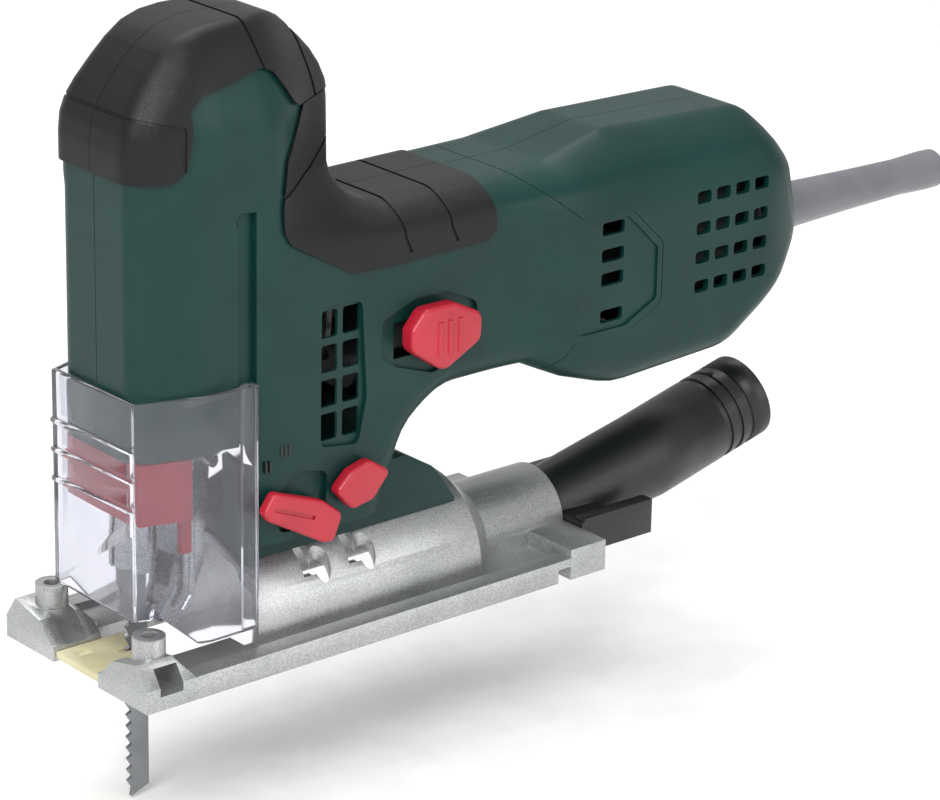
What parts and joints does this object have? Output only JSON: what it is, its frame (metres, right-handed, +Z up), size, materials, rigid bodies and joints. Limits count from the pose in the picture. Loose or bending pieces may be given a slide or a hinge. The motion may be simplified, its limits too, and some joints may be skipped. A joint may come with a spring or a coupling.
{
  "type": "jigsaw power tool",
  "caption": "Corded jigsaw with a tall grip column, orbital blade drive, clear chip guard, bevel base with dust barrel and a plug-in dust nozzle.",
  "frame": {"origin": "where the blade's plunger line meets the sole plane, on the middle plane", "axes": "+Z up from the sole, +X to the rear and the mains lead, -Y the tool's left side with the switch"},
  "size_m": [0.3695, 0.075, 0.25],
  "materials": {
    "housing_plastic": "moulded satin, dark green",
    "black_rubber": "soft overmould",
    "cast_aluminium": "bead-blasted casting",
    "steel": "ground",
    "blade_steel": "grey, set and ground teeth",
    "bronze": "sintered bronze",
    "core_steel": "laminated",
    "copper": "enamelled copper",
    "carbon": "pressed carbon",
    "black_plastic": "moulded satin",
    "board": "circuit board",
    "red_plastic": "moulded satin red",
    "clear_plastic": "clear polycarbonate",
    "insert_plastic": "natural nylon"
  },
  "bodies": {
    "housing": {"base_clamp": "steel", "base_clamp_screws": "steel", "bearing_bracket": "cast_aluminium", "brush_holders": "copper", "brush_springs": "steel", "cap_rubber_left": "black_rubber", "cap_rubber_right": "black_rubber", "carbon_brushes": "carbon", "cord_boot": "black_rubber", "cord_clamp": "black_plastic", "electronics_board": "board", "fan_baffle": "black_plastic", "field_coils": "copper", "foot_saddle": "housing_plastic", "fork_pin": "steel", "front_bearing": "steel", "front_shell_left": "housing_plastic", "front_shell_right": "housing_plastic", "gear_case": "cast_aluminium", "gear_spindle": "steel", "grip_rubber_left": "black_rubber", "grip_rubber_right": "black_rubber", "housing_screws": "steel", "lower_guide_bridge": "cast_aluminium", "lower_plunger_bush": "bronze", "rear_bearing": "steel", "rear_shell_left": "housing_plastic", "rear_shell_right": "housing_plastic", "stator_core": "core_steel", "switch_module": "black_plastic", "touch_guard": "steel", "upper_guide_bridge": "cast_aluminium", "upper_plunger_bush": "bronze"},
    "rotor": {"rotor_shaft": "steel", "armature_core": "core_steel", "commutator": "copper", "pinion": "steel", "cooling_fan": "black_plastic"},
    "gear": {"drive_gear": "steel", "crank_pin": "steel"},
    "plunger": {"plunger_rod": "steel", "crank_yoke": "steel", "blade_holder": "steel", "saw_blade": "blade_steel"},
    "fork": {"orbital_fork": "steel", "roller_pin": "steel"},
    "roller": {"guide_roller": "steel"},
    "selector": {"orbital_selector": "red_plastic"},
    "blower": {"blower_knob": "red_plastic"},
    "switch": {"slide_button": "red_plastic", "switch_link": "black_plastic"},
    "speed_dial": {"speed_wheel": "black_plastic"},
    "guard": {"chip_guard": "clear_plastic"},
    "lever": {"release_lever": "red_plastic"},
    "base": {"base_plate": "cast_aluminium", "chip_insert": "insert_plastic"},
    "nozzle": {"dust_nozzle": "black_plastic"}
  },
  "joints": [
    {"name": "rotor_spin", "type": "hinge", "parent": "housing", "child": "rotor", "pos_m": [0.1, 0, 0.105], "axis": [1, 0, 0], "continuous": true},
    {"name": "gear_spin", "type": "hinge", "parent": "housing", "child": "gear", "pos_m": [0.02, 0, 0.1293], "axis": [1, 0, 0], "continuous": true},
    {"name": "plunger_stroke", "type": "slide", "parent": "housing", "child": "plunger", "axis": [0, 0, 1], "range_m": [-0.011, 0.011]},
    {"name": "fork_swing", "type": "hinge", "parent": "housing", "child": "fork", "pos_m": [0.021, 0, 0.062], "axis": [0, 1, 0], "range_deg": [-3, 0], "stiffness_Nm_per_rad": 0.6, "springref_deg": 5.73},
    {"name": "roller_spin", "type": "hinge", "parent": "fork", "child": "roller", "pos_m": [0.00755, 0, 0.015], "axis": [0, 1, 0], "continuous": true},
    {"name": "orbit_select", "type": "hinge", "parent": "housing", "child": "selector", "pos_m": [0.0485, -0.029, 0.0445], "axis": [0, 1, 0], "range_deg": [0, 51]},
    {"name": "blower_turn", "type": "hinge", "parent": "housing", "child": "blower", "pos_m": [0.066, -0.029, 0.053], "axis": [0, 1, 0], "range_deg": [-40, 0]},
    {"name": "switch_slide", "type": "slide", "parent": "housing", "child": "switch", "axis": [-1, 0, 0], "range_m": [0, 0.008]},
    {"name": "speed_turn", "type": "hinge", "parent": "housing", "child": "speed_dial", "pos_m": [0.186, 0.0265, 0.0955], "axis": [0, 0, 1], "range_deg": [0, 270]},
    {"name": "guard_slide", "type": "slide", "parent": "housing", "child": "guard", "axis": [0, 0, 1], "range_m": [0, 0.05]},
    {"name": "lever_swing", "type": "hinge", "parent": "housing", "child": "lever", "pos_m": [0, 0, 0.06], "axis": [0, 0, 1], "range_deg": [0, 5]},
    {"name": "base_bevel", "type": "hinge", "parent": "housing", "child": "base", "pos_m": [0.07, 0, 0.0089], "axis": [1, 0, 0], "range_deg": [-3, 3]},
    {"name": "nozzle_pull", "type": "slide", "parent": "base", "child": "nozzle", "axis": [1, 0, 0], "range_m": [0, 0.025]}
  ],
  "couplings": [
    {"joint": "gear_spin", "follows": "rotor_spin", "ratio": -0.2}
  ]
}
